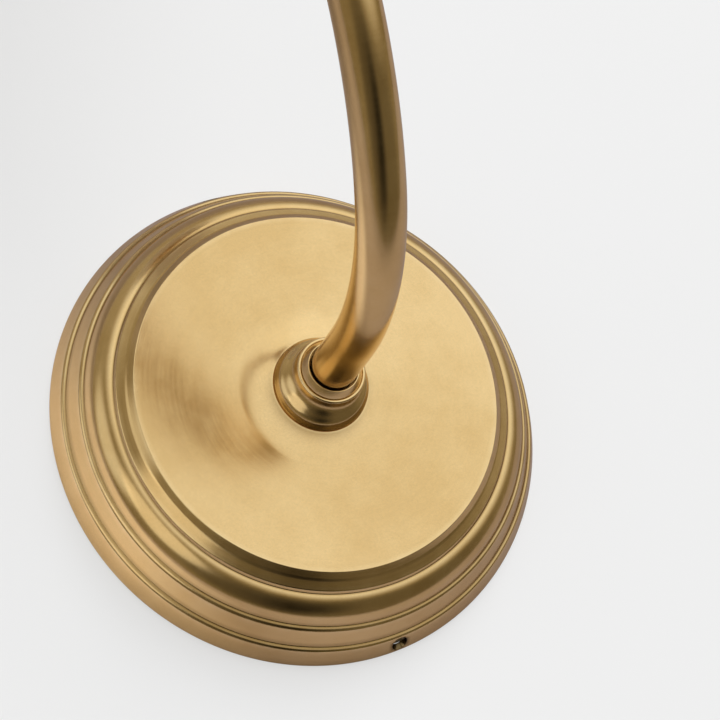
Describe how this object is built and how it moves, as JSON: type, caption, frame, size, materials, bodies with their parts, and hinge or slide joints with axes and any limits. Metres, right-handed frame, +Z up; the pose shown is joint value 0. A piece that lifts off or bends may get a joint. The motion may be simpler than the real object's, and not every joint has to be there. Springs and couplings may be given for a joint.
{
  "type": "wall sconce",
  "caption": "Wall sconce: stepped round canopy, bell-shaped hub with a swivelling J arm, turn-knob lampholder and an open glass bell shade held by thumb screws.",
  "frame": {"origin": "centre of the canopy's back face, on the wall", "axes": "+Y into the wall, so the lamp projects towards -Y; +X to the right as seen from the room; +Z up"},
  "size_m": [0.14, 0.2172, 0.3826],
  "materials": {
    "aged_brass": "satin, hand rubbed, lacquered",
    "turned_brass": "turned",
    "zinc_steel": "bright zinc plate",
    "black_steel": "blackened",
    "earth_green": "green passivated",
    "tinned_copper": "tinned",
    "nickel_shell": "nickel plated",
    "opal_glass": "white opal, fire polished",
    "moulded_core": "moulded phenolic",
    "fibre_liner": "vulcanised fibre",
    "nylon": "natural nylon",
    "connector_orange": "moulded",
    "lead_black": "extruded",
    "lead_white": "extruded",
    "lead_green": "extruded"
  },
  "bodies": {
    "wall_plate": {"mounting_bar": "zinc_steel", "earth_screw": "earth_green", "canopy": "aged_brass", "hub": "aged_brass", "hub_collar": "aged_brass", "hub_nut": "zinc_steel", "earth_tag": "tinned_copper", "stop_pin": "zinc_steel", "canopy_lead_live": "lead_black", "canopy_lead_neutral": "lead_white", "connector_live": "connector_orange", "connector_neutral": "connector_orange", "earth_lead": "lead_green"},
    "arm": {"arm_tube": "aged_brass", "arm_nipple": "turned_brass", "thrust_washer": "nylon", "spring_washer": "zinc_steel", "stop_washer": "zinc_steel", "arm_nut": "turned_brass", "lead_bushing": "nylon", "arm_lead_live": "lead_black", "arm_lead_neutral": "lead_white", "arm_ferrule": "aged_brass", "socket_cap": "aged_brass", "cap_screw": "zinc_steel", "socket_shell": "aged_brass", "socket_liner": "fibre_liner", "lampholder_body": "moulded_core", "terminal_live": "turned_brass", "terminal_neutral": "zinc_steel", "screw_shell": "nickel_shell", "centre_contact": "turned_brass", "shade_holder": "aged_brass", "shade_ring": "aged_brass", "glass_shade": "opal_glass"},
    "switch": {"switch_stem": "turned_brass", "switch_knob": "aged_brass"},
    "lower_screw": {"canopy_screw_lower": "black_steel"},
    "upper_screw": {"canopy_screw_upper": "black_steel"},
    "thumb_1": {"thumb_screw_1": "aged_brass"},
    "thumb_2": {"thumb_screw_2": "aged_brass"},
    "thumb_3": {"thumb_screw_3": "aged_brass"}
  },
  "joints": [
    {"name": "arm_swivel", "type": "hinge", "parent": "wall_plate", "child": "arm", "pos_m": [0, -0.023, 0], "axis": [0, -1, 0], "range_deg": [-160, 160]},
    {"name": "switch_turn", "type": "hinge", "parent": "arm", "child": "switch", "pos_m": [0.02, -0.15048, 0.17356], "axis": [1, 0, 0], "continuous": true},
    {"name": "lower_screw_travel", "type": "slide", "parent": "wall_plate", "child": "lower_screw", "axis": [0, 0, 1], "range_m": [0, 0.003]},
    {"name": "upper_screw_travel", "type": "slide", "parent": "wall_plate", "child": "upper_screw", "axis": [0, 0, -1], "range_m": [0, 0.003]},
    {"name": "thumb_1_travel", "type": "slide", "parent": "arm", "child": "thumb_1", "axis": [1, 0, 0], "range_m": [0, 0.0035]},
    {"name": "thumb_2_travel", "type": "slide", "parent": "arm", "child": "thumb_2", "axis": [-0.5, 0.866, 0], "range_m": [0, 0.0035]},
    {"name": "thumb_3_travel", "type": "slide", "parent": "arm", "child": "thumb_3", "axis": [-0.5, -0.866, 0], "range_m": [0, 0.0035]}
  ]
}
